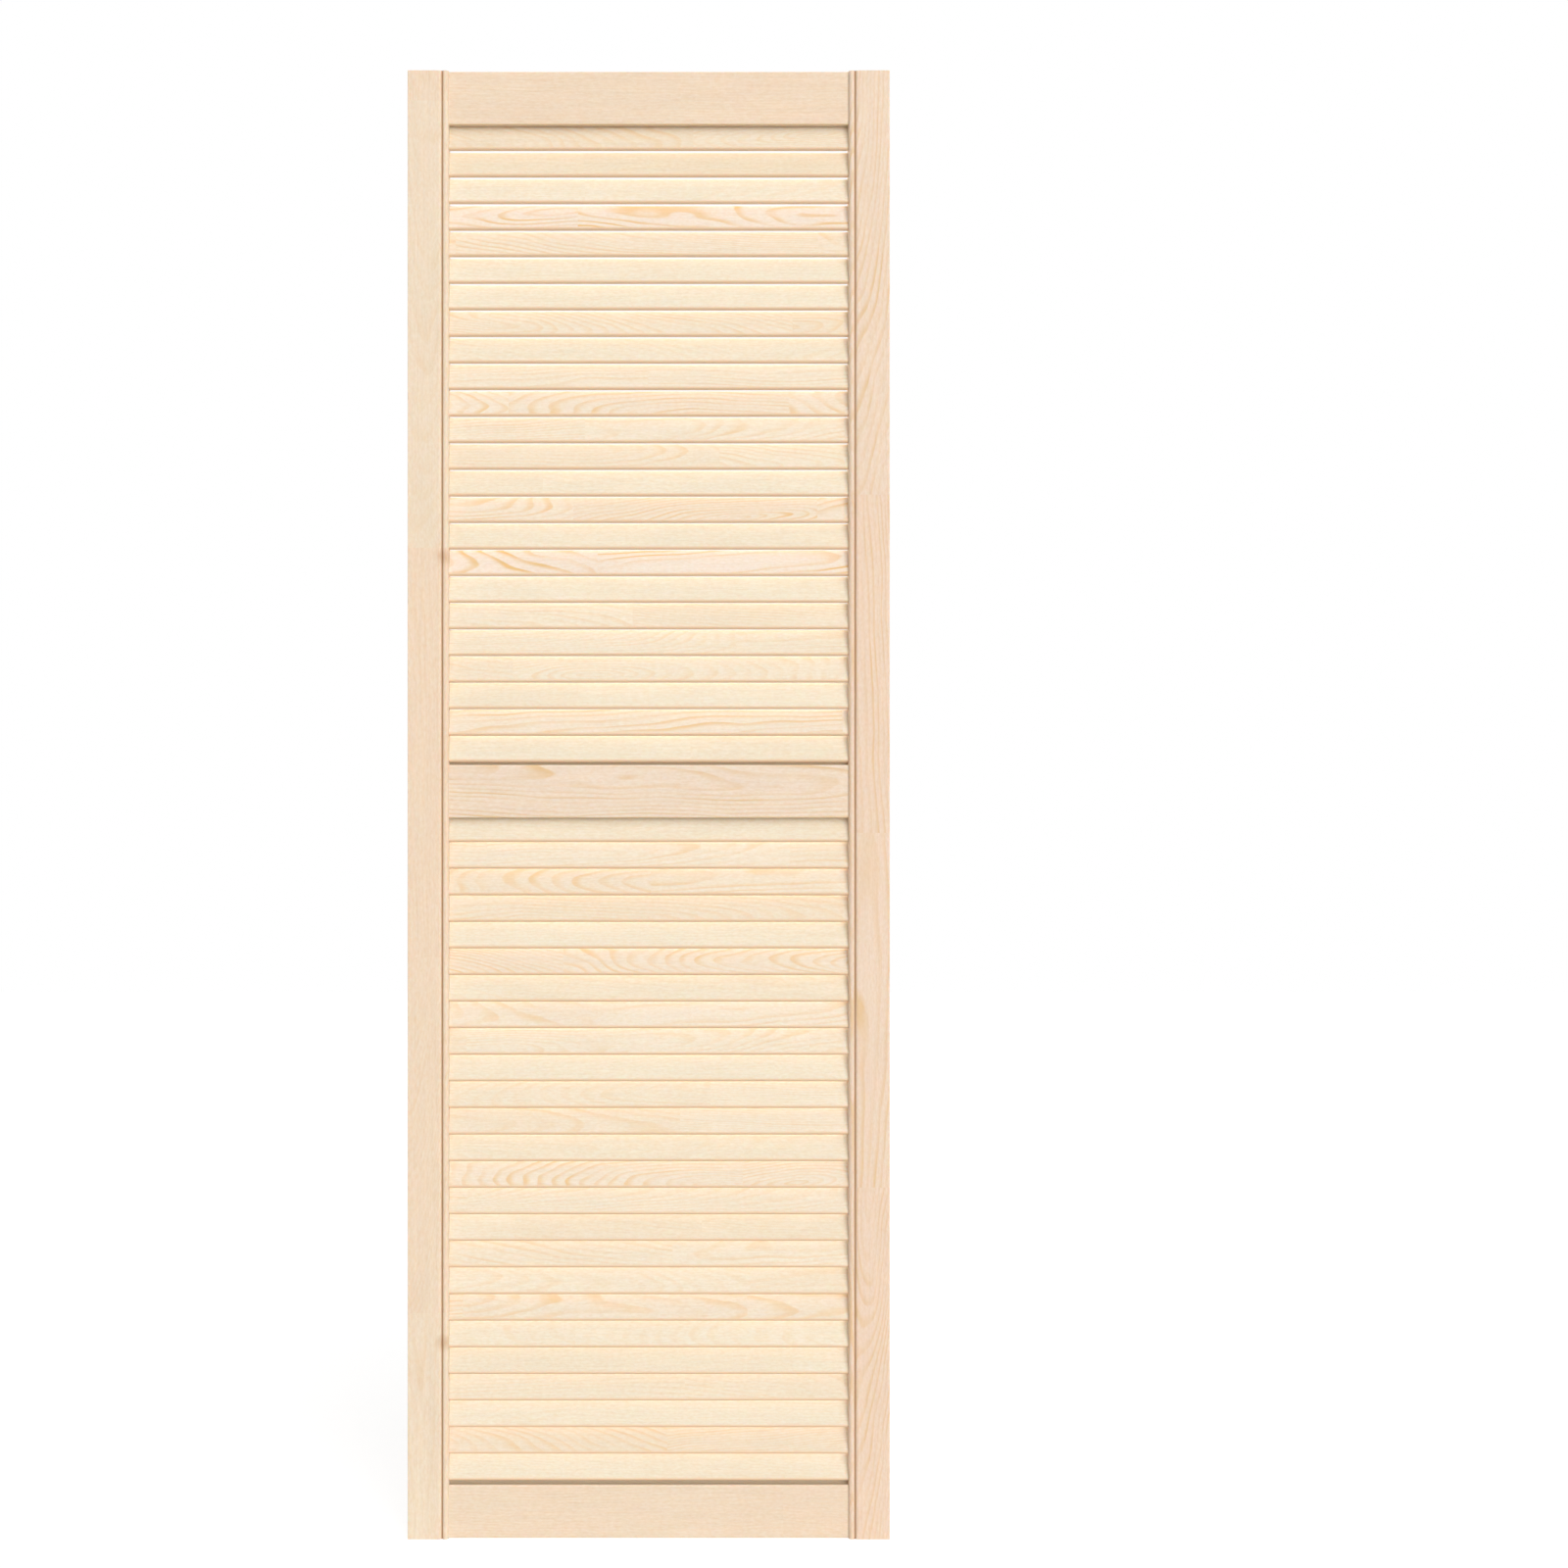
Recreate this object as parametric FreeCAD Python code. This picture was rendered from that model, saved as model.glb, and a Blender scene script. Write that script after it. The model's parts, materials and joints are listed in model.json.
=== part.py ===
# Louvred door leaf in solid pine: two moulded stiles, three rails and two banks of fixed slats.
# Origin at the foot of the left stile's outer edge, mid thickness. X runs across the leaf,
# Y from front to back and Z up, so the front face looks along -Y. Sizes in millimetres.
import math
import os

import FreeCAD
import Part

Vector = FreeCAD.Vector

# Leaf
door_height = 1505.0
door_width = 494.0
door_thickness = 20.0

# Stiles: a flat face, a rounded shoulder falling into a quirk, then a bead on the inner arris
stile_width = 42.0
shoulder_width = 3.5
quirk_depth = 1.9
edge_round = 0.8

# Rails: all of one section, thinner than the stiles
rail_height = 54.3
rail_thickness = 13.0
rail_round = 1.2
tenon_length = 18.0
tenon_height = 36.0
tenon_thickness = 5.0

# Slats: bars with full round edges, their lower edges to the front
slat_width = 28.6
slat_thickness = 5.5
slat_tilt = 18.0
upper_slat_count = 24
lower_slat_count = 25

# Slats at the rails: gaps above the bottom and middle rails, closed by lips on the rails' back halves,
# and laps behind the middle and top rails, in rebates with a clearance over the slats' upper edges
bottom_gap = 4.2
middle_lap = 2.5
middle_gap = 2.7
top_lap = 1.2
lip_cover = 0.4
head_clearance = 1.2

# Mortises: blind slots in the stiles' inner edges that hold the ends of the slats and rails
mortise_depth = 8.0
mortise_clearance = 0.15
end_clearance = 0.3

# Values that follow from the sizes above
half_thickness = 0.5 * door_thickness
half_rail = 0.5 * rail_thickness
bead_radius = half_thickness - half_rail
opening_width = door_width - 2.0 * stile_width
tilt = math.radians(slat_tilt)
slat_axis = Vector(0.0, math.sin(tilt), math.cos(tilt))
slat_normal = Vector(0.0, -math.cos(tilt), math.sin(tilt))
slat_core = slat_width - slat_thickness
slat_rise = slat_core * math.cos(tilt) + slat_thickness
slat_length = opening_width + 2.0 * (mortise_depth - end_clearance)
slat_start = stile_width - mortise_depth + end_clearance
slat_count = upper_slat_count + lower_slat_count
lower_fit = bottom_gap + slat_rise - middle_lap
upper_fit = middle_gap + slat_rise - top_lap
slat_pitch = (door_height - 3.0 * rail_height - lower_fit - upper_fit) / (slat_count - 2)

# Heights of the rails and of the slats' lower edges, from the foot up
lower_start = rail_height + bottom_gap
lower_feet = [lower_start + i * slat_pitch for i in range(lower_slat_count)]
middle_rail_foot = lower_feet[-1] + slat_rise - middle_lap
upper_start = middle_rail_foot + rail_height + middle_gap
upper_feet = [upper_start + i * slat_pitch for i in range(upper_slat_count)]
top_rail_foot = door_height - rail_height


def make_slat(foot):
    """Bar along X with full round edges; its middle line leans back from the lower front edge."""
    middle = Vector(slat_start, 0.0, foot + 0.5 * slat_rise)
    low = middle - slat_axis * (0.5 * slat_core)
    high = middle + slat_axis * (0.5 * slat_core)
    side = slat_normal * (0.5 * slat_thickness)
    end = slat_axis * (0.5 * slat_thickness)
    outline = Part.Wire([
        Part.makeLine(low + side, high + side),
        Part.Arc(high + side, high + end, high - side).toShape(),
        Part.makeLine(high - side, low - side),
        Part.Arc(low - side, low - end, low + side).toShape(),
    ])
    return Part.Face(outline).extrude(Vector(slat_length, 0.0, 0.0))


def make_slat_mortise(foot):
    """Space that one slat end fills; its corners are cut off upright and level round the slat's edges."""
    middle = Vector(stile_width - mortise_depth, 0.0, foot + 0.5 * slat_rise)
    half_slot = 0.5 * slat_thickness + mortise_clearance
    end = slat_axis * (0.5 * slat_width + mortise_clearance)
    side = slat_normal * half_slot
    excess = half_slot * (math.sin(tilt) + math.cos(tilt) - 1.0)
    long_cut = excess / math.sin(tilt)
    short_cut = excess / math.cos(tilt)
    spokes = [
        end + side - slat_axis * short_cut,
        end + side - slat_normal * long_cut,
        end - side + slat_normal * short_cut,
        end - side - slat_axis * long_cut,
    ]
    corners = [middle + spoke for spoke in spokes] + [middle - spoke for spoke in spokes]
    outline = Part.makePolygon(corners + corners[:1])
    return Part.Face(outline).extrude(Vector(2.0 * mortise_depth, 0.0, 0.0))


def make_tenon(foot, start, length, clearance):
    """Square block along X at the middle of a rail's height, larger all round by the clearance."""
    thickness = tenon_thickness + 2.0 * clearance
    height = tenon_height + 2.0 * clearance
    corner = Vector(start, -0.5 * thickness, foot + 0.5 * (rail_height - height))
    return Part.makeBox(length, thickness, height, corner)


def make_rail_mortise(foot):
    """Space that one rail tenon fills, reaching out through the stile's inner edge."""
    depth = tenon_length + end_clearance
    return make_tenon(foot, stile_width - depth, 2.0 * depth, mortise_clearance)


def stile_outline():
    """Section of the left stile, the same moulding on its front and back."""
    crest = stile_width - bead_radius
    bead_fall = bead_radius - quirk_depth
    quirk = crest - math.sqrt(bead_radius ** 2 - bead_fall ** 2)
    shoulder = quirk - shoulder_width
    shoulder_radius = (shoulder_width ** 2 + quirk_depth ** 2) / (2.0 * quirk_depth)
    half_angle = 0.5 * math.asin(shoulder_width / shoulder_radius)
    shoulder_mid = shoulder + shoulder_radius * math.sin(half_angle)
    shoulder_drop = shoulder_radius * (1.0 - math.cos(half_angle))
    corner = edge_round * (1.0 - math.sqrt(0.5))
    edges = []
    for side in (-1.0, 1.0):
        face = side * half_thickness
        start = Vector(0.0, face - side * edge_round, 0.0)
        flat_start = Vector(edge_round, face, 0.0)
        flat_end = Vector(shoulder, face, 0.0)
        shoulder_point = Vector(shoulder_mid, face - side * shoulder_drop, 0.0)
        quirk_point = Vector(quirk, face - side * quirk_depth, 0.0)
        crest_point = Vector(crest, face, 0.0)
        inner_end = Vector(stile_width, side * half_rail, 0.0)
        edges.append(Part.Arc(start, Vector(corner, face - side * corner, 0.0), flat_start).toShape())
        edges.append(Part.makeLine(flat_start, flat_end))
        edges.append(Part.Arc(flat_end, shoulder_point, quirk_point).toShape())
        edges.append(Part.Arc(quirk_point, crest_point, inner_end).toShape())
    inner_front = Vector(stile_width, -half_rail, 0.0)
    inner_back = Vector(stile_width, half_rail, 0.0)
    outer_front = Vector(0.0, edge_round - half_thickness, 0.0)
    outer_back = Vector(0.0, half_thickness - edge_round, 0.0)
    edges.append(Part.makeLine(inner_front, inner_back))
    edges.append(Part.makeLine(outer_front, outer_back))
    return Part.Wire(Part.__sortEdges__(edges))


def make_stile():
    """Left stile with a blind mortise for each rail and a leaning one for each slat."""
    blank = Part.Face(stile_outline()).extrude(Vector(0.0, 0.0, door_height))
    mortises = [make_rail_mortise(foot) for foot in (0.0, middle_rail_foot, top_rail_foot)]
    mortises += [make_slat_mortise(foot) for foot in lower_feet + upper_feet]
    return blank.cut(mortises)


def make_rail(foot, lower_rebate, upper_lip):
    """Rail tenoned into the stiles; its back half clears the slats below and closes the gap above."""
    front = Part.makeBox(opening_width, half_rail, rail_height, Vector(stile_width, -half_rail, foot))
    back_height = rail_height - lower_rebate + upper_lip
    back = Part.makeBox(opening_width, half_rail, back_height, Vector(stile_width, 0.0, foot + lower_rebate))
    rail = front.fuse(back).removeSplitter()
    arrises = []
    for edge in rail.Edges:
        box = edge.BoundBox
        along = box.XLength > 0.5 * opening_width
        if along and abs(abs(box.YMin) - half_rail) < 0.001:
            arrises.append(edge)
    tenon_start = stile_width - tenon_length
    tenons = make_tenon(foot, tenon_start, opening_width + 2.0 * tenon_length, 0.0)
    return rail.makeFillet(rail_round, arrises).fuse(tenons).removeSplitter()


left_stile = make_stile()
right_stile = left_stile.mirror(Vector(0.5 * door_width, 0.0, 0.0), Vector(1.0, 0.0, 0.0))

parts = {
    "left_stile": left_stile,
    "right_stile": right_stile,
    "bottom_rail": make_rail(0.0, 0.0, bottom_gap + lip_cover),
    "middle_rail": make_rail(middle_rail_foot, middle_lap + head_clearance, middle_gap + lip_cover),
    "top_rail": make_rail(top_rail_foot, top_lap + head_clearance, 0.0),
}
for bank, feet in (("lower", lower_feet), ("upper", upper_feet)):
    for number, foot in enumerate(feet, start=1):
        parts["%s_slat_%02d" % (bank, number)] = make_slat(foot)

os.makedirs("parts", exist_ok=True)
for name, shape in parts.items():
    shape.exportStep("parts/%s.step" % name)
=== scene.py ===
import json
import math

import bpy
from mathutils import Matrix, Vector

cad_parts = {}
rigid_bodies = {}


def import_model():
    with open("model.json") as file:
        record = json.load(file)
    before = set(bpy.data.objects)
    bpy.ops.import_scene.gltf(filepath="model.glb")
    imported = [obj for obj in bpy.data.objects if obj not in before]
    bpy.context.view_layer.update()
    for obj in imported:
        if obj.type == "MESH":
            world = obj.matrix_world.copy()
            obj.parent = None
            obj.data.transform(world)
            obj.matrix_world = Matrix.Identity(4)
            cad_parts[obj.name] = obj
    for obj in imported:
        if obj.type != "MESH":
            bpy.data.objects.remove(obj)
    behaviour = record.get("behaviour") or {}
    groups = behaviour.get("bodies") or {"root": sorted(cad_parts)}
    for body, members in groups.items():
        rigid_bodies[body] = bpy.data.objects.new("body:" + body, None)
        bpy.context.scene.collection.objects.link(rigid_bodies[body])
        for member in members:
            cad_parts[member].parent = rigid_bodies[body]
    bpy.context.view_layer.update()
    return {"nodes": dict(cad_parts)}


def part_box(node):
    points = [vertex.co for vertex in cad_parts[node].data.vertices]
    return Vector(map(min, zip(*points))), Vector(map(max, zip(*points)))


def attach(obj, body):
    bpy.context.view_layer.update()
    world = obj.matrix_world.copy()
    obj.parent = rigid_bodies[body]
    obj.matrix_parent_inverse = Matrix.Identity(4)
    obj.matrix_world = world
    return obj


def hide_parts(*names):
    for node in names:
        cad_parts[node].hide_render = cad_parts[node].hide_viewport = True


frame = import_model()

# Stiles: the two uprights, planed from finger-jointed pine, with a quirk and bead run along both inner
# arrises and two small knots beside the left one's bead. The rails are tenoned and glued into their
# inner edges, between the mortises for the slats.


def linear(hex_colour):
    """An sRGB hex colour as linear RGBA."""
    values = [int(hex_colour[i:i + 2], 16) / 255.0 for i in (1, 3, 5)]
    return [v / 12.92 if v <= 0.04045 else ((v + 0.055) / 1.055) ** 2.4 for v in values] + [1.0]


def add(tree, kind, settings, inputs):
    """A new node with its settings. An input takes a value, a socket or another node's first output."""
    node = tree.nodes.new(kind)
    for key, value in settings.items():
        setattr(node, key, value)
    for key, value in inputs.items():
        if isinstance(value, bpy.types.Node):
            value = next(output for output in value.outputs if output.enabled)
        if isinstance(value, bpy.types.NodeSocket):
            tree.links.new(value, node.inputs[key])
        else:
            node.inputs[key].default_value = value
    return node


# Bare pine, planed and sanded: a pale cream to blush ground with soft golden late wood at the end of
# each year's ring. The rings are cylinders round a leaning, wandering pith, so they run as straight
# lines, arches or loops as the cut falls. Short pieces are finger-jointed end to end, and each has a
# pith and a tone of its own. Board is a place (along, across, depth) in metres, Piece a length in mm.
pine = bpy.data.node_groups.new("pine_board", "ShaderNodeTree")
for label, kind in (("Board", "NodeSocketVector"), ("Number", "NodeSocketFloat"),
                    ("Figure", "NodeSocketFloat"), ("Warmth", "NodeSocketFloat"),
                    ("Piece", "NodeSocketFloat"), ("Pale", "NodeSocketColor"), ("Flush", "NodeSocketColor")):
    pine.interface.new_socket(label, in_out="INPUT", socket_type=kind)
for label, kind in (("Color", "NodeSocketColor"), ("Roughness", "NodeSocketFloat"),
                    ("Height", "NodeSocketFloat")):
    pine.interface.new_socket(label, in_out="OUTPUT", socket_type=kind)
given = add(pine, "NodeGroupInput", {}, {}).outputs
mm = add(pine, "ShaderNodeVectorMath", {"operation": "SCALE"}, {0: given["Board"], "Scale": 1000.0})
at = add(pine, "ShaderNodeSeparateXYZ", {}, {0: mm}).outputs

# Finger-jointed pieces of uneven length: cells along the board, each with random numbers of its own.
# A board's number moves it on to other cells, and each piece moves on to noise of its own.
cell_step = 9.37
noise_step = 900.0
run = add(pine, "ShaderNodeMath", {"operation": "DIVIDE"}, {0: at["X"], 1: given["Piece"]})
run = add(pine, "ShaderNodeMath", {"operation": "MULTIPLY_ADD"}, {0: given["Number"], 1: cell_step, 2: run})
piece = add(pine, "ShaderNodeTexVoronoi", {"voronoi_dimensions": "1D"}, {
    "W": run, "Scale": 1.0, "Randomness": 0.9}).outputs
along = add(pine, "ShaderNodeMath", {"operation": "SUBTRACT"}, {0: run, 1: piece["W"]})
along = add(pine, "ShaderNodeMath", {"operation": "MULTIPLY"}, {0: along, 1: given["Piece"]})
dice_a = add(pine, "ShaderNodeSeparateColor", {}, {0: piece["Color"]}).outputs
roll = add(pine, "ShaderNodeTexWhiteNoise", {"noise_dimensions": "3D"}, {"Vector": piece["Color"]}).outputs
dice_b = add(pine, "ShaderNodeSeparateColor", {}, {0: roll["Color"]}).outputs
apart = add(pine, "ShaderNodeVectorMath", {"operation": "SCALE"}, {0: roll["Color"], "Scale": noise_step})

# Noises drawn out along the grain, with their length and width in mm: how the pith wanders, how the late
# wood fades, streaks of fibre, drawn 2 mm wide so that they show, broad clouds of tone, the short dashes
# of resin ducts, drawn 1 mm wide, and the soft mottle of sanded fibre, drawn 2 mm wide.
noise = {}
for label, length, width, detail, roughness in (
        ("wander", 150.0, 45.0, 2.0, 0.45), ("fade", 90.0, 14.0, 1.0, 0.5), ("fibre", 60.0, 2.0, 3.0, 0.6),
        ("cloud", 120.0, 22.0, 3.0, 0.5), ("resin", 18.0, 1.0, 0.0, 0.5), ("mottle", 5.0, 2.0, 2.0, 0.6)):
    spot = add(pine, "ShaderNodeVectorMath", {"operation": "MULTIPLY_ADD"}, {
        0: mm, 1: (1.0 / length, 1.0 / width, 1.0 / width), 2: apart})
    noise[label] = add(pine, "ShaderNodeTexNoise", {}, {
        "Vector": spot, "Scale": 1.0, "Detail": detail, "Roughness": roughness})

# The pith, 8 to 60 mm off. Bold figure has it near and squarely behind the face, plain wood to one
# side. It leans up to a quarter along the piece, and wanders by some 10 to 20 mm.
pith_least, pith_most = 16.0, 60.0
side_lean, deep_lean = 0.09, 0.12
swing = add(pine, "ShaderNodeMapRange", {}, {"Value": dice_a[0], 3: -1.5, 4: 1.5})
flat = add(pine, "ShaderNodeMath", {"operation": "MULTIPLY_ADD"}, {0: given["Figure"], 1: -0.75, 2: 1.0})
swing = add(pine, "ShaderNodeMath", {"operation": "MULTIPLY"}, {0: swing, 1: flat})
far = add(pine, "ShaderNodeMapRange", {}, {"Value": dice_a[1], 3: pith_least, 4: pith_most})
near = add(pine, "ShaderNodeMath", {"operation": "MULTIPLY_ADD"}, {0: given["Figure"], 1: -0.5, 2: 1.0})
far = add(pine, "ShaderNodeMath", {"operation": "MULTIPLY"}, {0: far, 1: near})
side = add(pine, "ShaderNodeMath", {"operation": "SINE"}, {0: swing})
side = add(pine, "ShaderNodeMath", {"operation": "MULTIPLY"}, {0: side, 1: far})
deep = add(pine, "ShaderNodeMath", {"operation": "COSINE"}, {0: swing})
deep = add(pine, "ShaderNodeMath", {"operation": "MULTIPLY"}, {0: deep, 1: far})
lean = add(pine, "ShaderNodeMapRange", {}, {"Value": dice_a[2], 3: -side_lean, 4: side_lean})
side = add(pine, "ShaderNodeMath", {"operation": "MULTIPLY_ADD"}, {0: lean, 1: along, 2: side})
lean = add(pine, "ShaderNodeMapRange", {}, {"Value": dice_b[0], 3: -deep_lean, 4: deep_lean})
steep = add(pine, "ShaderNodeMath", {"operation": "ADD"}, {0: given["Figure"], 1: 1.0})
lean = add(pine, "ShaderNodeMath", {"operation": "MULTIPLY"}, {0: lean, 1: steep})
deep = add(pine, "ShaderNodeMath", {"operation": "MULTIPLY_ADD"}, {0: lean, 1: along, 2: deep})
pith = add(pine, "ShaderNodeCombineXYZ", {}, {1: side, 2: deep})
wander = add(pine, "ShaderNodeVectorMath", {"operation": "SUBTRACT"}, {
    0: noise["wander"].outputs["Color"], 1: (0.5, 0.5, 0.5)})
sway = add(pine, "ShaderNodeMath", {"operation": "MULTIPLY_ADD"}, {0: given["Figure"], 1: 10.0, 2: 10.0})
wander = add(pine, "ShaderNodeVectorMath", {"operation": "SCALE"}, {0: wander, "Scale": sway})
spread = add(pine, "ShaderNodeVectorMath", {"operation": "SUBTRACT"}, {0: mm, 1: pith})
spread = add(pine, "ShaderNodeVectorMath", {"operation": "ADD"}, {0: spread, 1: wander})
spread = add(pine, "ShaderNodeVectorMath", {"operation": "MULTIPLY"}, {0: spread, 1: (0.0, 1.0, 1.0)})
radius = add(pine, "ShaderNodeVectorMath", {"operation": "LENGTH"}, {0: spread}).outputs["Value"]

# Growth rings 1.7 to 5 mm wide: pale early wood, deepening late wood and a sudden end. Some years
# are strong and some weak, and each line fades in and out along the grain. Bold lines are thinner.
ring_least, ring_most = 1.7, 3.1
year_step = 71.0
width = add(pine, "ShaderNodeMapRange", {}, {"Value": dice_b[1], 3: ring_least, 4: ring_most})
widen = add(pine, "ShaderNodeMath", {"operation": "MULTIPLY_ADD"}, {0: given["Figure"], 1: 0.6, 2: 1.0})
width = add(pine, "ShaderNodeMath", {"operation": "MULTIPLY"}, {0: width, 1: widen})
ring = add(pine, "ShaderNodeMath", {"operation": "DIVIDE"}, {0: radius, 1: width})
season = add(pine, "ShaderNodeMath", {"operation": "FRACT"}, {0: ring})
late = add(pine, "ShaderNodeValToRGB", {}, {0: season})
late.color_ramp.interpolation = "EASE"
late.color_ramp.elements[0].position = 0.25
late.color_ramp.elements[0].color = (0.0, 0.0, 0.0, 1.0)
late.color_ramp.elements[1].position = 1.0
late.color_ramp.elements[1].color = (0.0, 0.0, 0.0, 1.0)
late.color_ramp.elements.new(0.78).color = (1.0, 1.0, 1.0, 1.0)
late.color_ramp.elements.new(0.86).color = (1.0, 1.0, 1.0, 1.0)
year = add(pine, "ShaderNodeMath", {"operation": "FLOOR"}, {0: ring})
year = add(pine, "ShaderNodeMath", {"operation": "MULTIPLY_ADD"}, {0: given["Number"], 1: year_step, 2: year})
year = add(pine, "ShaderNodeTexWhiteNoise", {"noise_dimensions": "1D"}, {"W": year}).outputs["Value"]
year = add(pine, "ShaderNodeMapRange", {}, {"Value": year, 3: 0.3, 4: 1.0})
fade = add(pine, "ShaderNodeMapRange", {}, {"Value": noise["fade"], 1: 0.3, 2: 0.65, 3: 0.25, 4: 1.0})
thin = add(pine, "ShaderNodeMath", {"operation": "MULTIPLY_ADD"}, {0: given["Figure"], 1: 1.5, 2: 1.0})
late = add(pine, "ShaderNodeMath", {"operation": "POWER"}, {0: late, 1: thin})
band = add(pine, "ShaderNodeMath", {"operation": "MULTIPLY"}, {0: late, 1: year})
band = add(pine, "ShaderNodeMath", {"operation": "MULTIPLY"}, {0: band, 1: fade})
strong = add(pine, "ShaderNodeMath", {"operation": "MULTIPLY"}, {0: given["Figure"], 1: 1.5})
band = add(pine, "ShaderNodeMath", {"operation": "MULTIPLY", "use_clamp": True}, {0: band, 1: strong})

# Colour: each piece's ground lies between pale and flushed and drifts with the clouds, and is pinker
# where the rings are bold. The mottle is a shade yellower, and fibre and clouds shade the whole.
bold_ground = linear("#f0e1d8")
mottle_shade = linear("#f9f3e9")
late_wood = linear("#e2bb80")
resin_duct = linear("#d5a263")
tint = add(pine, "ShaderNodeMath", {"operation": "MULTIPLY_ADD"}, {0: dice_b[2], 1: 0.5, 2: given["Warmth"]})
tint = add(pine, "ShaderNodeMath", {"operation": "MULTIPLY_ADD"}, {
    0: noise["cloud"].outputs["Color"], 1: 0.8, 2: tint})
tint = add(pine, "ShaderNodeMath", {"operation": "SUBTRACT", "use_clamp": True}, {0: tint, 1: 0.65})
ground = add(pine, "ShaderNodeMix", {"data_type": "RGBA"}, {0: tint, 6: given["Pale"], 7: given["Flush"]})
pink = add(pine, "ShaderNodeMath", {"operation": "MULTIPLY"}, {0: given["Figure"], 1: 0.6})
ground = add(pine, "ShaderNodeMix", {"data_type": "RGBA"}, {0: pink, 6: ground, 7: bold_ground})
mottle = add(pine, "ShaderNodeMapRange", {}, {"Value": noise["mottle"], 1: 0.3, 2: 0.7})
ground = add(pine, "ShaderNodeMix", {"data_type": "RGBA", "blend_type": "MULTIPLY"}, {
    0: mottle, 6: ground, 7: mottle_shade})
wood = add(pine, "ShaderNodeMix", {"data_type": "RGBA"}, {0: band, 6: ground, 7: late_wood})
resin = add(pine, "ShaderNodeMapRange", {}, {"Value": noise["resin"], 1: 0.70, 2: 0.82, 3: 0.0, 4: 0.14})
wood = add(pine, "ShaderNodeMix", {"data_type": "RGBA"}, {0: resin, 6: wood, 7: resin_duct})
tone = add(pine, "ShaderNodeMapRange", {"clamp": False}, {"Value": noise["fibre"], 3: 0.93, 4: 1.07})
tone = add(pine, "ShaderNodeMath", {"operation": "MULTIPLY_ADD"}, {0: noise["cloud"], 1: 0.08, 2: tone})
tone = add(pine, "ShaderNodeMath", {"operation": "SUBTRACT"}, {0: tone, 1: 0.04})
wood = add(pine, "ShaderNodeHueSaturation", {}, {"Value": tone, "Color": wood})
rough = add(pine, "ShaderNodeMapRange", {}, {"Value": noise["fibre"], 3: 0.56, 4: 0.72})
height = add(pine, "ShaderNodeMath", {"operation": "MULTIPLY_ADD"}, {0: band, 1: 0.6, 2: noise["fibre"]})
add(pine, "NodeGroupOutput", {}, {"Color": wood, "Roughness": rough, "Height": height})


def pine_finish(name, pale, flush):
    """A material of bare pine, its board node, whose other inputs are still to be given, and its surface."""
    material = bpy.data.materials.new(name)
    material.use_nodes = True
    tree = material.node_tree
    tree.nodes.clear()
    board = add(tree, "ShaderNodeGroup", {"node_tree": pine}, {"Pale": linear(pale), "Flush": linear(flush)})
    relief = add(tree, "ShaderNodeBump", {}, {
        "Height": board.outputs["Height"], "Strength": 0.12, "Distance": 0.0002})
    surface = add(tree, "ShaderNodeBsdfPrincipled", {}, {
        "Base Color": board.outputs["Color"], "Roughness": board.outputs["Roughness"],
        "Normal": relief, "Specular IOR Level": 0.3, "Subsurface Weight": 0.3,
        "Subsurface Radius": (1.0, 0.5, 0.25), "Subsurface Scale": 0.002})
    add(tree, "ShaderNodeOutputMaterial", {}, {"Surface": surface})
    return material, board, surface


door_frame = bpy.data.collections.new("door_frame")


def plane_piece(node, pale, flush, grain, traits):
    """Planed pine put on a frame node, its grain laid along the axes in the order given.

    Gives the material's tree, surface and colour, then the place from the node's middle, and the axes of
    that place and of the normal.
    """
    finish, board, surface = pine_finish("planed_pine_" + node, pale, flush)
    tree = finish.node_tree
    low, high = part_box(node)
    point = add(tree, "ShaderNodeTexCoord", {}, {}).outputs
    place = add(tree, "ShaderNodeVectorMath", {"operation": "SUBTRACT"}, {
        0: point["Object"], 1: (low + high) / 2})
    axes = add(tree, "ShaderNodeSeparateXYZ", {}, {0: place}).outputs
    facing = add(tree, "ShaderNodeSeparateXYZ", {}, {0: point["Normal"]}).outputs
    lay = add(tree, "ShaderNodeCombineXYZ", {}, {i: axes[axis] for i, axis in enumerate(grain)})
    tree.links.new(lay.outputs[0], board.inputs["Board"])
    for label, value in traits.items():
        board.inputs[label].default_value = value
    frame["nodes"][node].data.materials.clear()
    frame["nodes"][node].data.materials.append(finish)
    door_frame.objects.link(frame["nodes"][node])
    return tree, surface, board.outputs["Color"], place, axes, facing


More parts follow.
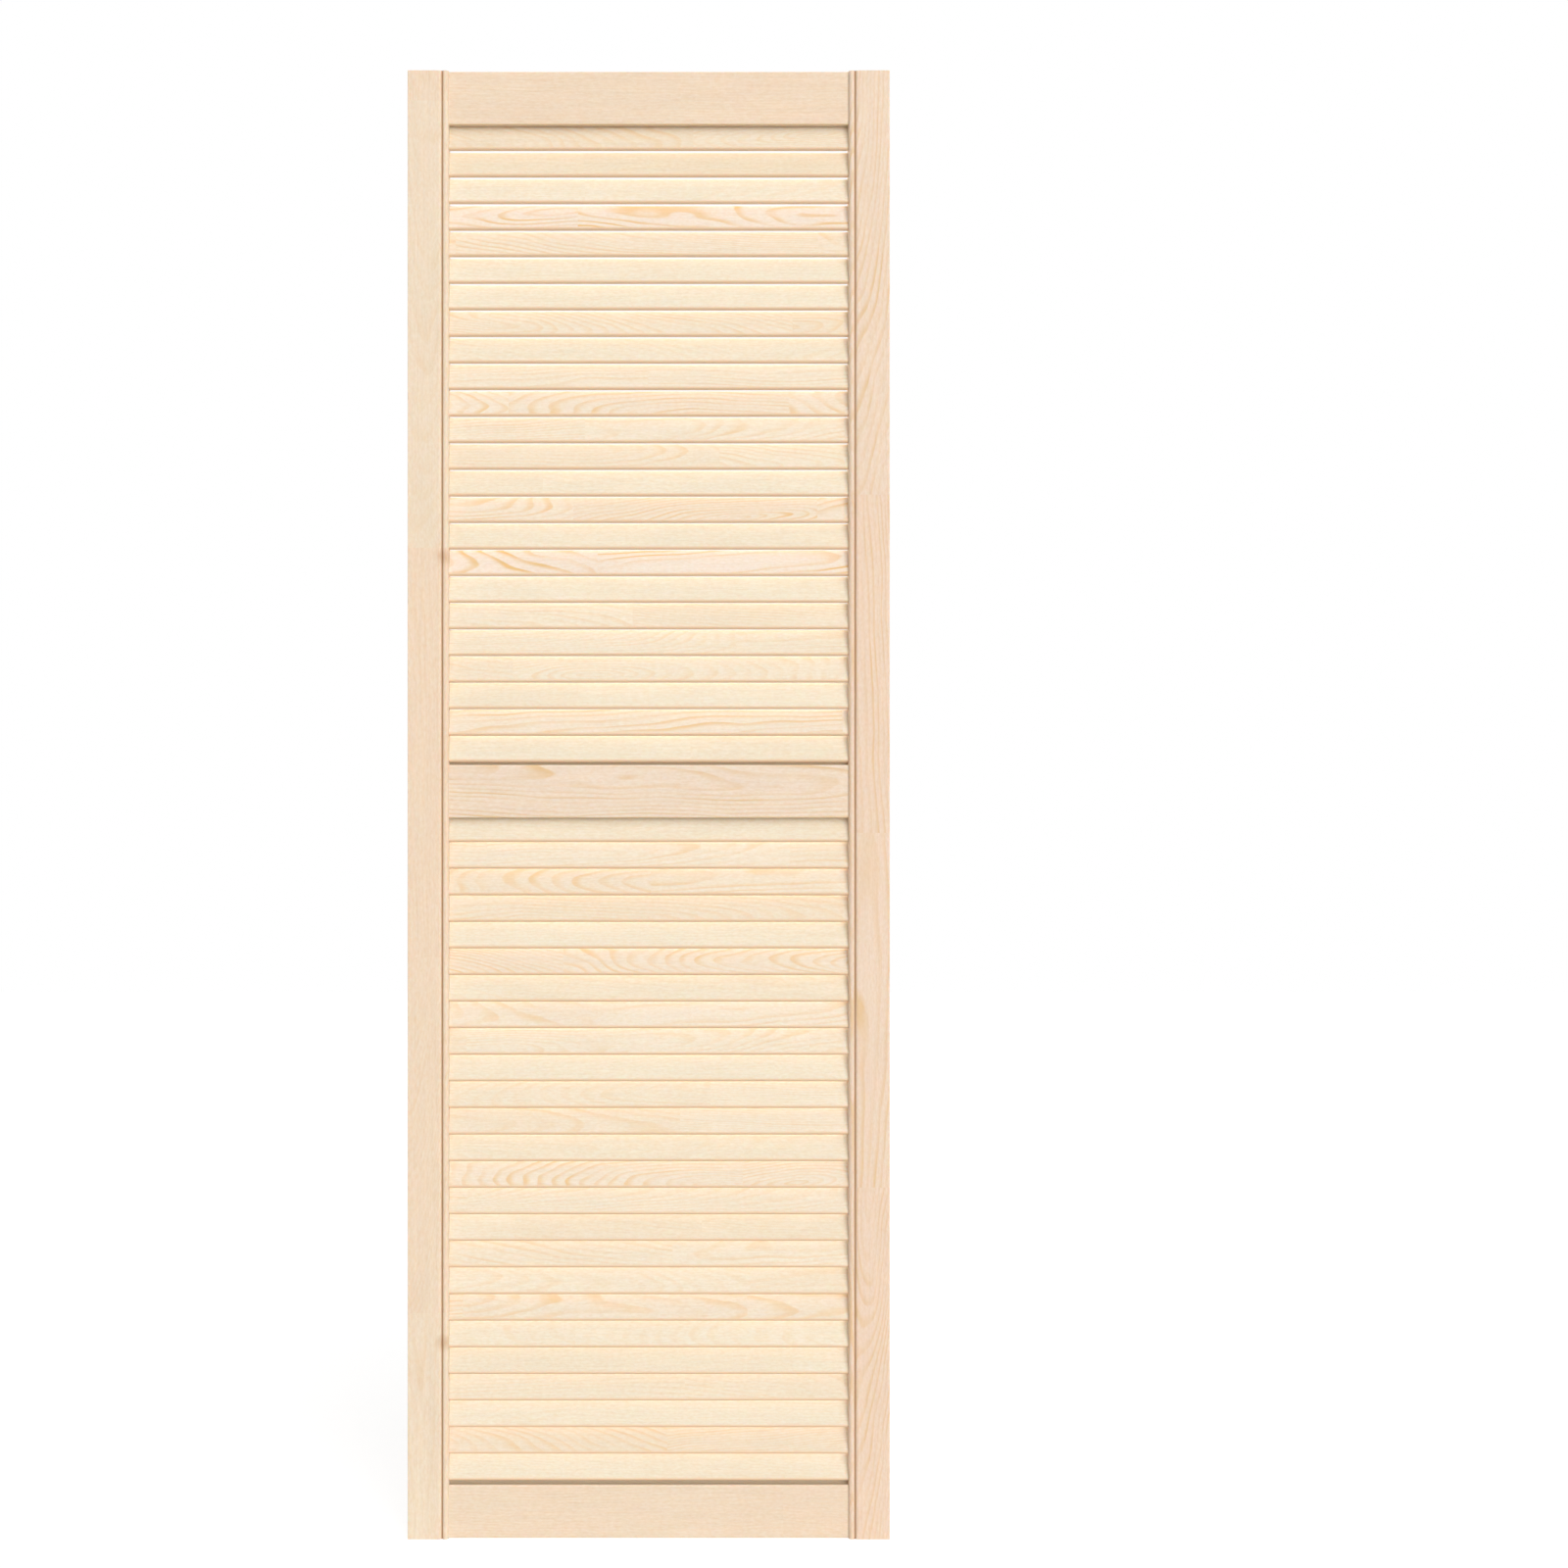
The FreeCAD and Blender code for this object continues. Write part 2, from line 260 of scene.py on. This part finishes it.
# The quirks take a painted shade, a brown standing in for the shadow in the grooves beside the beads;
# the knots darken the wood round them, and the sawn ends drink in light. Quirks and knots are placed
# from the middle of the stile.
frame_pale = "#efe2cc"
frame_flush = "#f0d6be"
stile_piece = 380.0
quirk_shade_brown = linear("#b8916b")
quirk_shade_strength = 0.9
quirk_half_width = 0.0018
quirk_floor = 0.0078
knot_stain = linear("#d9b893")
knot_strength = 0.45
knot_aside = 0.002
knot_across, knot_along = 0.014, 0.013
sawn_shade = linear("#e4d8c6")
for stile, quirk, number, figure, warmth, knots in (
        ("left_stile", 0.0144, 3.0, 0.15, 0.42, (0.2544, -0.551)),
        ("right_stile", -0.0144, 221.0, 0.45, 0.85, ())):
    tree, surface, wood, place, axes, facing = plane_piece(stile, frame_pale, frame_flush, "ZXY", {
        "Number": number, "Figure": figure, "Warmth": warmth, "Piece": stile_piece})
    # Painted shade: the wood along each quirk is mixed toward brown, for the shadow in the groove.
    off = add(tree, "ShaderNodeMath", {"operation": "SUBTRACT"}, {0: axes["X"], 1: quirk})
    off = add(tree, "ShaderNodeMath", {"operation": "ABSOLUTE"}, {0: off})
    off = add(tree, "ShaderNodeMapRange", {"interpolation_type": "SMOOTHSTEP"}, {
        "Value": off, 1: 0.0, 2: quirk_half_width, 3: quirk_shade_strength, 4: 0.0})
    skin = add(tree, "ShaderNodeMath", {"operation": "ABSOLUTE"}, {0: axes["Y"]})
    skin = add(tree, "ShaderNodeMath", {"operation": "GREATER_THAN"}, {0: skin, 1: quirk_floor})
    quirk_shade = add(tree, "ShaderNodeMath", {"operation": "MULTIPLY"}, {0: off, 1: skin})
    wood = add(tree, "ShaderNodeMix", {"data_type": "RGBA"}, {0: quirk_shade, 6: wood, 7: quirk_shade_brown})
    for knot_height in knots:
        near = add(tree, "ShaderNodeVectorMath", {"operation": "SUBTRACT"}, {
            0: place, 1: (quirk + knot_aside, 0.0, knot_height)})
        near = add(tree, "ShaderNodeVectorMath", {"operation": "MULTIPLY"}, {
            0: near, 1: (1.0 / knot_across, 0.0, 1.0 / knot_along)})
        near = add(tree, "ShaderNodeVectorMath", {"operation": "LENGTH"}, {0: near}).outputs["Value"]
        near = add(tree, "ShaderNodeMapRange", {"interpolation_type": "SMOOTHERSTEP"}, {
            "Value": near, 1: 0.0, 2: 1.0, 3: knot_strength, 4: 0.0})
        wood = add(tree, "ShaderNodeMix", {"data_type": "RGBA", "blend_type": "MULTIPLY"}, {
            0: near, 6: wood, 7: knot_stain})
    sawn = add(tree, "ShaderNodeMath", {"operation": "ABSOLUTE"}, {0: facing["Z"]})
    sawn = add(tree, "ShaderNodeMath", {"operation": "GREATER_THAN"}, {0: sawn, 1: 0.9})
    wood = add(tree, "ShaderNodeMix", {"data_type": "RGBA", "blend_type": "MULTIPLY"}, {
        0: sawn, 6: wood, 7: sawn_shade})
    tree.links.new(wood.outputs[2], surface.inputs["Base Color"])

# Rails: plain lengths of the same planed pine, thinner than the stiles and tenoned between them, with
# eased arrises. On the back half a lip closes the gap under the bank of slats above, and a rebate takes
# the upper edge of the bank below. The recess by the lip is painted grey as shade, and the lower
# arrises, which face down, are painted amber as warm bounce light.
rail_piece = 700.0
recess_shade_grey = linear("#c2b198")
recess_start, recess_full = -0.0056, -0.0035
recess_margin = 0.0005
underside_bounce_amber = linear("#fbdcb0")
arris_depth = 0.005
for rail, number, figure, warmth, pale, flush, lip in (
        ("bottom_rail", 21.0, 0.12, 0.35, "#ede1cc", "#eed5be", 0.0046),
        ("middle_rail", 223.0, 0.55, 0.5, frame_pale, frame_flush, 0.0031),
        ("top_rail", 23.0, 0.12, 0.5, frame_pale, frame_flush, 0.0)):
    tree, surface, wood, place, axes, facing = plane_piece(rail, pale, flush, "XZY", {
        "Number": number, "Figure": figure, "Warmth": warmth, "Piece": rail_piece})
    if lip:
        # Painted shade: the recess in front of the lip, above the ledge, is mixed toward grey.
        low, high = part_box(rail)
        ledge = (high - low).z / 2 - lip - recess_margin
        step = add(tree, "ShaderNodeMath", {"operation": "GREATER_THAN"}, {0: axes["Z"], 1: ledge})
        front = add(tree, "ShaderNodeMath", {"operation": "LESS_THAN"}, {0: axes["Y"], 1: recess_margin})
        inside = add(tree, "ShaderNodeMapRange", {}, {"Value": axes["Y"], 1: recess_start, 2: recess_full})
        inside = add(tree, "ShaderNodeMath", {"operation": "MULTIPLY"}, {0: inside, 1: front})
        inside = add(tree, "ShaderNodeMath", {"operation": "MULTIPLY"}, {0: inside, 1: step})
        wood = add(tree, "ShaderNodeMix", {"data_type": "RGBA"}, {0: inside, 6: wood, 7: recess_shade_grey})
    # Painted light: faces turned down on the front and back skins are lightened amber, for warm bounce light.
    under = add(tree, "ShaderNodeMapRange", {}, {"Value": facing["Z"], 1: -0.2, 2: -0.7})
    skin = add(tree, "ShaderNodeMath", {"operation": "ABSOLUTE"}, {0: axes["Y"]})
    skin = add(tree, "ShaderNodeMath", {"operation": "GREATER_THAN"}, {0: skin, 1: arris_depth})
    under = add(tree, "ShaderNodeMath", {"operation": "MULTIPLY"}, {0: under, 1: skin})
    wood = add(tree, "ShaderNodeMix", {"data_type": "RGBA"}, {0: under, 6: wood, 7: underside_bounce_amber})
    tree.links.new(wood.outputs[2], surface.inputs["Base Color"])

# Slats: thin pine bars with full round edges, leaning back from their lower front edges, pushed dry
# into the stiles' mortises. Each comes from a different stick, so its tone and figure are its own.
slat_length = 0.4254
slat_width = 0.0286
slat_thickness = 0.0055
slat_tilt = math.radians(18.0)
slat_play = 0.0001
slat_twist = math.radians(0.25)
round_share = 0.4998
flat_face_area = 0.002

slats = bpy.data.node_groups.new("louvre_slats", "GeometryNodeTree")
for label, kind in (("Centres", "NodeSocketGeometry"), ("Length", "NodeSocketFloat"),
                    ("Width", "NodeSocketFloat"), ("Thickness", "NodeSocketFloat"),
                    ("Tilt", "NodeSocketFloat"), ("Play", "NodeSocketFloat"), ("Twist", "NodeSocketFloat"),
                    ("Seed", "NodeSocketInt"), ("Finish", "NodeSocketMaterial")):
    slats.interface.new_socket(label, in_out="INPUT", socket_type=kind)
slats.interface.new_socket("Slats", in_out="OUTPUT", socket_type="NodeSocketGeometry")
given = add(slats, "NodeGroupInput", {}, {}).outputs
section = add(slats, "GeometryNodeCurvePrimitiveQuadrilateral", {"mode": "RECTANGLE"}, {
    "Width": given["Thickness"], "Height": given["Width"]})
edge = add(slats, "ShaderNodeMath", {"operation": "MULTIPLY"}, {0: given["Thickness"], 1: round_share})
section = add(slats, "GeometryNodeFilletCurve", {"mode": "POLY"}, {
    "Curve": section, "Count": 9, "Radius": edge, "Limit Radius": True})
half = add(slats, "ShaderNodeMath", {"operation": "MULTIPLY"}, {0: given["Length"], 1: 0.5})
back = add(slats, "ShaderNodeMath", {"operation": "MULTIPLY"}, {0: given["Length"], 1: -0.5})
start = add(slats, "ShaderNodeCombineXYZ", {}, {0: back})
end = add(slats, "ShaderNodeCombineXYZ", {}, {0: half})
line = add(slats, "GeometryNodeCurvePrimitiveLine", {"mode": "POINTS"}, {"Start": start, "End": end})
bar = add(slats, "GeometryNodeCurveToMesh", {}, {"Curve": line, "Profile Curve": section, "Fill Caps": True})

# Only the round edges are shaded smooth: the flat faces are larger, and the ends face along X. Each
# point keeps its place along, across and through its bar.
area = add(slats, "GeometryNodeInputMeshFaceArea", {}, {})
narrow = add(slats, "FunctionNodeCompare", {"data_type": "FLOAT", "operation": "LESS_THAN"}, {
    0: area, 1: flat_face_area})
facing = add(slats, "GeometryNodeInputNormal", {}, {})
facing = add(slats, "ShaderNodeSeparateXYZ", {}, {0: facing})
facing = add(slats, "FunctionNodeCompare", {"data_type": "FLOAT", "operation": "EQUAL"}, {
    0: facing, 1: 0.0, "Epsilon": 0.5})
curved = add(slats, "FunctionNodeBooleanMath", {"operation": "AND"}, {0: narrow, 1: facing})
bar = add(slats, "GeometryNodeSetShadeSmooth", {"domain": "FACE"}, {"Geometry": bar, "Shade Smooth": curved})
place = add(slats, "GeometryNodeInputPosition", {}, {})
place = add(slats, "ShaderNodeSeparateXYZ", {}, {0: place}).outputs
place = add(slats, "ShaderNodeCombineXYZ", {}, {0: place["X"], 1: place["Z"], 2: place["Y"]})
bar = add(slats, "GeometryNodeStoreNamedAttribute", {"data_type": "FLOAT_VECTOR", "domain": "POINT"}, {
    "Geometry": bar, "Name": "board", "Value": place})

# One bar on each centre, with the small play that a dry slat has in its mortise.
loose = add(slats, "ShaderNodeMath", {"operation": "MULTIPLY"}, {0: given["Play"], 1: -1.0})
shift = add(slats, "FunctionNodeRandomValue", {"data_type": "FLOAT"}, {
    2: loose, 3: given["Play"], "Seed": given["Seed"]})
shift = add(slats, "ShaderNodeCombineXYZ", {}, {2: shift})
centres = add(slats, "GeometryNodeSetPosition", {}, {"Geometry": given["Centres"], "Offset": shift})
least = add(slats, "ShaderNodeMath", {"operation": "SUBTRACT"}, {0: given["Twist"], 1: given["Tilt"]})
most = add(slats, "ShaderNodeMath", {"operation": "ADD"}, {0: given["Twist"], 1: given["Tilt"]})
most = add(slats, "ShaderNodeMath", {"operation": "MULTIPLY"}, {0: most, 1: -1.0})
lean = add(slats, "FunctionNodeRandomValue", {"data_type": "FLOAT"}, {
    2: most, 3: least, "Seed": given["Seed"]})
turn = add(slats, "ShaderNodeCombineXYZ", {}, {0: lean})
bank = add(slats, "GeometryNodeInstanceOnPoints", {}, {"Points": centres, "Instance": bar, "Rotation": turn})
bank = add(slats, "GeometryNodeRealizeInstances", {}, {"Geometry": bank})
bank = add(slats, "GeometryNodeSetMaterial", {}, {"Geometry": bank, "Material": given["Finish"]})
add(slats, "NodeGroupOutput", {}, {"Slats": bank})

# The same pine, paler on the slats, with a painted warm shade in amber on their lower round edges.
slat_piece = 330.0
lower_edge_shade_amber = linear("#f1d2b0")
amber_start, amber_full = -0.0112, -0.0130
slat_finish, board, surface = pine_finish("moulded_pine_slats", "#ebe1cd", "#e6d7be")
tree = slat_finish.node_tree
for attribute, output, label in (("board", "Vector", "Board"), ("number", "Fac", "Number"),
                                 ("figure", "Fac", "Figure"), ("warmth", "Fac", "Warmth")):
    carried = add(tree, "ShaderNodeAttribute", {"attribute_name": attribute}, {})
    tree.links.new(carried.outputs[output], board.inputs[label])
board.inputs["Piece"].default_value = slat_piece
across = add(tree, "ShaderNodeAttribute", {"attribute_name": "board"}, {}).outputs["Vector"]
across = add(tree, "ShaderNodeSeparateXYZ", {}, {0: across}).outputs["Y"]
# Painted shade: the lower round edge of each slat, the side turned down, is mixed toward a darker amber.
lower_edge_shade = add(tree, "ShaderNodeMapRange", {}, {"Value": across, 1: amber_start, 2: amber_full, 3: 0.0, 4: 1.0})
wood = add(tree, "ShaderNodeMix", {"data_type": "RGBA"}, {0: lower_edge_shade, 6: board.outputs["Color"], 7: lower_edge_shade_amber})
tree.links.new(wood.outputs[2], surface.inputs["Base Color"])

# Which stick each slat was cut from, how bold its figure is and how warm its ground, from the top slat
# of the bank down.
upper_number = (97, 81, 82, 103, 59, 105, 106, 85, 88, 43, 95, 82,
                94, 114, 84, 116, 52, 118, 83, 100, 87, 122, 90, 124)
upper_figure = (0.35, 0.12, 0.12, 1.0, 0.45, 0.08, 0.08, 0.35, 0.12, 0.35, 0.6, 0.35,
                0.3, 0.1, 0.6, 0.08, 1.0, 0.08, 0.28, 0.25, 0.28, 0.08, 0.55, 0.08)
upper_warmth = (0.8, 0.65, 0.1, 0.35, 0.4, 0.1, 0.1, 0.6, 0.25, 0.2, 0.45, 0.3,
                0.3, 0.1, 0.5, 0.1, 0.4, 0.05, 0.3, 0.25, 0.25, 0.05, 0.3, 0.1)
lower_number = (141, 96, 57, 60, 145, 46, 147, 52, 55, 150, 51, 62, 153,
                53, 58, 56, 49, 48, 45, 160, 161, 102, 163, 61, 165)
lower_figure = (0.1, 0.35, 0.45, 0.35, 0.1, 0.6, 0.12, 0.45, 0.3, 0.08, 0.2, 0.35, 0.1,
                0.55, 0.3, 0.15, 0.3, 0.2, 0.45, 0.15, 0.1, 0.2, 0.1, 0.4, 0.08)
lower_warmth = (0.15, 0.2, 0.5, 0.6, 0.1, 0.55, 0.1, 0.25, 0.2, 0.05, 0.2, 0.3, 0.1,
                0.45, 0.2, 0.25, 0.2, 0.1, 0.3, 0.15, 0.1, 0.3, 0.05, 0.55, 0.05)

sizes = {"Length": slat_length, "Width": slat_width, "Thickness": slat_thickness, "Tilt": slat_tilt,
         "Play": slat_play, "Twist": slat_twist, "Seed": 7, "Finish": slat_finish}
slat_banks = bpy.data.collections.new("slat_banks")
for bank_name, numbers, figures, warmths in (("lower_slat", lower_number, lower_figure, lower_warmth),
                                             ("upper_slat", upper_number, upper_figure, upper_warmth)):
    nodes = ["%s_%02d" % (bank_name, len(figures) - i) for i in range(len(figures))]
    boxes = [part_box(node) for node in nodes]
    points = bpy.data.meshes.new(bank_name + "_centres")
    points.from_pydata([(low + high) / 2 for low, high in boxes], [], [])
    for attribute, values in (("number", numbers), ("figure", figures), ("warmth", warmths)):
        points.attributes.new(attribute, "FLOAT", "POINT").data.foreach_set("value", values)
    maker = bpy.data.objects.new(bank_name + "_maker", points)
    bpy.context.scene.collection.objects.link(maker)
    layer = maker.modifiers.new("slats", "NODES")
    layer.node_group = slats
    for item in slats.interface.items_tree:
        if item.name in sizes:
            layer[item.identifier] = sizes[item.name]
    made = bpy.data.meshes.new_from_object(maker.evaluated_get(bpy.context.evaluated_depsgraph_get()))
    bpy.data.objects.remove(maker)
    slat_bank = bpy.data.objects.new(bank_name + "s", made)
    bpy.context.scene.collection.objects.link(slat_bank)
    slat_banks.objects.link(slat_bank)
    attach(slat_bank, "root")
    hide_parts(*nodes)

# Floor and light: a pale floor that keeps the door's shadow, and an even white surround. Broad soft
# lamps stand low on the right, high in front, behind and at each side, and the frame alone shades the
# front ones on the slats, so that no slat darkens the next.
floor_left, floor_right, floor_depth = -6.0, 6.5, 6.0
floor_grey = linear("#b4b4b4")
floor_lift = 0.72
surround_light, surround_seen = 0.34, 1.0


def seen_directly(tree):
    """1 for what the camera sees, straight or by way of gloss or glass, and 0 for light on the door."""
    ray = add(tree, "ShaderNodeLightPath", {}, {}).outputs
    seen = add(tree, "ShaderNodeMath", {"operation": "MAXIMUM"}, {
        0: ray["Is Camera Ray"], 1: ray["Is Glossy Ray"]})
    return add(tree, "ShaderNodeMath", {"operation": "MAXIMUM"}, {0: seen, 1: ray["Is Transmission Ray"]})


floor_mesh = bpy.data.meshes.new("floor")
floor_mesh.from_pydata([(floor_left, -floor_depth, 0.0), (floor_right, -floor_depth, 0.0),
                        (floor_right, floor_depth, 0.0), (floor_left, floor_depth, 0.0)], [], [(0, 1, 2, 3)])
floor = bpy.data.objects.new("floor", floor_mesh)
bpy.context.scene.collection.objects.link(floor)

# Matt white paper, which shows as white and still takes a shadow.
paper = bpy.data.materials.new("white_paper")
paper.use_nodes = True
tree = paper.node_tree
tree.nodes.clear()
lift = add(tree, "ShaderNodeMath", {"operation": "MULTIPLY"}, {0: seen_directly(tree), 1: floor_lift})
matt = add(tree, "ShaderNodeBsdfDiffuse", {}, {"Color": floor_grey})
glow = add(tree, "ShaderNodeEmission", {}, {"Color": linear("#ffffff"), "Strength": lift})
white = add(tree, "ShaderNodeAddShader", {}, {0: matt, 1: glow})
add(tree, "ShaderNodeOutputMaterial", {}, {"Surface": white})
floor_mesh.materials.append(paper)

world = bpy.data.worlds.new("studio")
world.use_nodes = True
bpy.context.scene.world = world
tree = world.node_tree
tree.nodes.clear()
strength = add(tree, "ShaderNodeMapRange", {}, {
    "Value": seen_directly(tree), 3: surround_light, 4: surround_seen})
sky = add(tree, "ShaderNodeBackground", {}, {"Color": linear("#ffffff"), "Strength": strength})
add(tree, "ShaderNodeOutputWorld", {}, {"Surface": sky})

# Each lamp has its strength, its width, azimuth and elevation in degrees, what it lights and what shades it.
door = bpy.data.collections.new("door")
for piece in [*door_frame.objects, *slat_banks.objects]:
    door.objects.link(piece)
not_slats = bpy.data.collections.new("all_but_slats")
for slat_bank in slat_banks.objects:
    not_slats.objects.link(slat_bank)
not_floor = bpy.data.collections.new("all_but_floor")
not_floor.objects.link(floor)
for link in [*not_slats.collection_objects, *not_floor.collection_objects]:
    link.light_linking.link_state = "EXCLUDE"
for lamp_name, energy, spread, azimuth, elevation, lights, shades in (
        ("low_on_frame", 1.40, 44.0, 26.0, 6.0, not_slats, door),
        ("low_on_slats", 1.40, 44.0, 26.0, 6.0, slat_banks, door_frame),
        ("high_on_frame", 1.46, 60.0, 12.0, 48.0, not_slats, door),
        ("high_on_slats", 1.46, 60.0, 12.0, 48.0, slat_banks, door_frame),
        ("behind", 1.5, 60.0, 200.0, 15.0, not_floor, door),
        ("right_side", 1.0, 40.0, 115.0, 8.0, not_floor, door),
        ("left_side", 1.0, 40.0, 250.0, 8.0, not_floor, door)):
    lamp = bpy.data.lights.new(lamp_name, "SUN")
    lamp.energy = energy
    lamp.angle = math.radians(spread)
    light = bpy.data.objects.new(lamp_name, lamp)
    across, up = math.radians(azimuth), math.radians(elevation)
    towards = Vector((math.sin(across) * math.cos(up), -math.cos(across) * math.cos(up), math.sin(up)))
    light.rotation_euler = towards.to_track_quat("Z", "Y").to_euler()
    light.light_linking.receiver_collection = lights
    light.light_linking.blocker_collection = shades
    bpy.context.scene.collection.objects.link(light)

# Camera: straight on at half the door's height, 2.06 m from its face, framed as in the photograph.
view_distance = 2.06
frame_height = 1.6063
sensor_width = 36.0
door_middle, door_face, half_height = 0.247, -0.010, 0.7525
lens = bpy.data.cameras.new("camera")
lens.sensor_width = sensor_width
lens.lens = sensor_width * view_distance / frame_height
lens.shift_x = 0.0863
lens.shift_y = 0.0133
camera = bpy.data.objects.new("camera", lens)
camera.location = (door_middle, door_face - view_distance, half_height)
camera.rotation_euler = (math.radians(90.0), 0.0, 0.0)
bpy.context.scene.collection.objects.link(camera)
bpy.context.scene.camera = camera
bpy.context.scene.view_settings.view_transform = "Standard"
